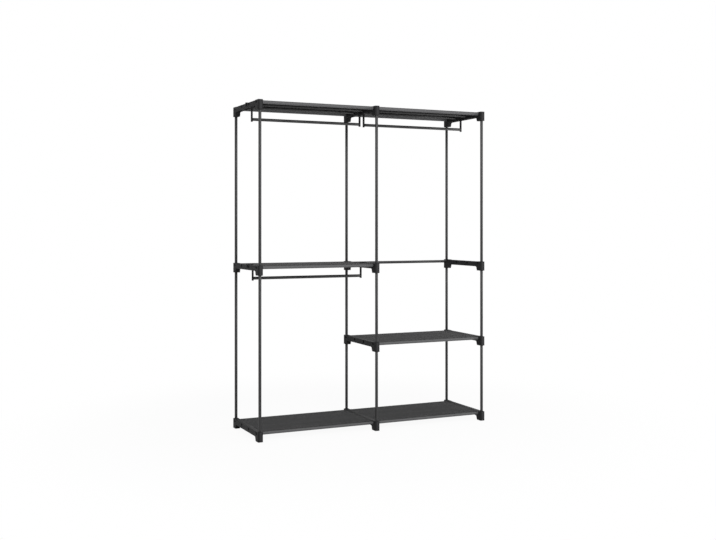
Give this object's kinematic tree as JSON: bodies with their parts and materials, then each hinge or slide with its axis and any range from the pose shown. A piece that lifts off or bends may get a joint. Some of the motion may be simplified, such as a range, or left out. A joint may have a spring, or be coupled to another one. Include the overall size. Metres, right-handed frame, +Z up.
{
  "type": "open frame wardrobe",
  "caption": "Free-standing open wardrobe of steel tubes in moulded side bars, with taut fabric shelves and hanging rods on hooks that slide along the bars.",
  "frame": {"origin": "centre of the footprint, on the floor", "axes": "+X along the width to the right, +Y to the rear, +Z up"},
  "size_m": [1.3978, 0.43, 1.8028],
  "materials": {
    "coated_tube": "black powder coat, satin",
    "moulded_plastic": "black moulded plastic, fine grain",
    "shelf_fabric": "black non-woven fabric"
  },
  "bodies": {
    "frame": {"post_centre_front_lower": "coated_tube", "post_centre_front_middle": "coated_tube", "post_centre_front_upper": "coated_tube", "post_centre_rear_lower": "coated_tube", "post_centre_rear_middle": "coated_tube", "post_centre_rear_upper": "coated_tube", "post_left_front_lower": "coated_tube", "post_left_front_upper": "coated_tube", "post_left_rear_lower": "coated_tube", "post_left_rear_upper": "coated_tube", "post_right_front_lower": "coated_tube", "post_right_front_middle": "coated_tube", "post_right_front_upper": "coated_tube", "post_right_rear_lower": "coated_tube", "post_right_rear_middle": "coated_tube", "post_right_rear_upper": "coated_tube", "shelf_fabric_base_left": "shelf_fabric", "shelf_fabric_base_right": "shelf_fabric", "shelf_fabric_low_right": "shelf_fabric", "shelf_fabric_middle_left": "shelf_fabric", "shelf_fabric_top_left": "shelf_fabric", "shelf_fabric_top_right": "shelf_fabric", "shelf_tube_base_left_front": "coated_tube", "shelf_tube_base_left_rear": "coated_tube", "shelf_tube_base_right_front": "coated_tube", "shelf_tube_base_right_rear": "coated_tube", "shelf_tube_low_right_front": "coated_tube", "shelf_tube_low_right_rear": "coated_tube", "shelf_tube_middle_left_front": "coated_tube", "shelf_tube_middle_left_rear": "coated_tube", "shelf_tube_top_left_front": "coated_tube", "shelf_tube_top_left_rear": "coated_tube", "shelf_tube_top_right_front": "coated_tube", "shelf_tube_top_right_rear": "coated_tube", "shelf_tubes_base_left_inner": "coated_tube", "shelf_tubes_base_right_inner": "coated_tube", "shelf_tubes_low_right_inner": "coated_tube", "shelf_tubes_middle_left_inner": "coated_tube", "shelf_tubes_top_left_inner": "coated_tube", "shelf_tubes_top_right_inner": "coated_tube", "side_bar_centre_base": "moulded_plastic", "side_bar_centre_low": "moulded_plastic", "side_bar_centre_middle": "moulded_plastic", "side_bar_centre_top": "moulded_plastic", "side_bar_left_base": "moulded_plastic", "side_bar_left_middle": "moulded_plastic", "side_bar_left_top": "moulded_plastic", "side_bar_right_base": "moulded_plastic", "side_bar_right_low": "moulded_plastic", "side_bar_right_middle": "moulded_plastic", "side_bar_right_top": "moulded_plastic", "tie_tube_middle_right_rear": "coated_tube"},
    "hooks_top_left": {"rod_hooks_top_left": "moulded_plastic"},
    "rod_top_left": {"hanging_rod_top_left": "coated_tube"},
    "hooks_top_right": {"rod_hooks_top_right": "moulded_plastic"},
    "rod_top_right": {"hanging_rod_top_right": "coated_tube"},
    "hooks_middle_left": {"rod_hooks_middle_left": "moulded_plastic"},
    "rod_middle_left": {"hanging_rod_middle_left": "coated_tube"}
  },
  "joints": [
    {"name": "rail_slide_top_left", "type": "slide", "parent": "frame", "child": "hooks_top_left", "axis": [0, 1, 0], "range_m": [-0.026, 0.0045]},
    {"name": "rod_spin_top_left", "type": "hinge", "parent": "hooks_top_left", "child": "rod_top_left", "pos_m": [-0.34075, -0.018, 1.713], "axis": [1, 0, 0], "continuous": true},
    {"name": "rail_slide_top_right", "type": "slide", "parent": "frame", "child": "hooks_top_right", "axis": [0, 1, 0], "range_m": [-0.0045, 0.04]},
    {"name": "rod_spin_top_right", "type": "hinge", "parent": "hooks_top_right", "child": "rod_top_right", "pos_m": [0.34075, 0.004, 1.713], "axis": [1, 0, 0], "continuous": true},
    {"name": "rail_slide_middle_left", "type": "slide", "parent": "frame", "child": "hooks_middle_left", "axis": [0, 1, 0], "range_m": [-0.011, 0.077]},
    {"name": "rod_spin_middle_left", "type": "hinge", "parent": "hooks_middle_left", "child": "rod_middle_left", "pos_m": [-0.34075, -0.033, 0.8515], "axis": [1, 0, 0], "continuous": true}
  ]
}
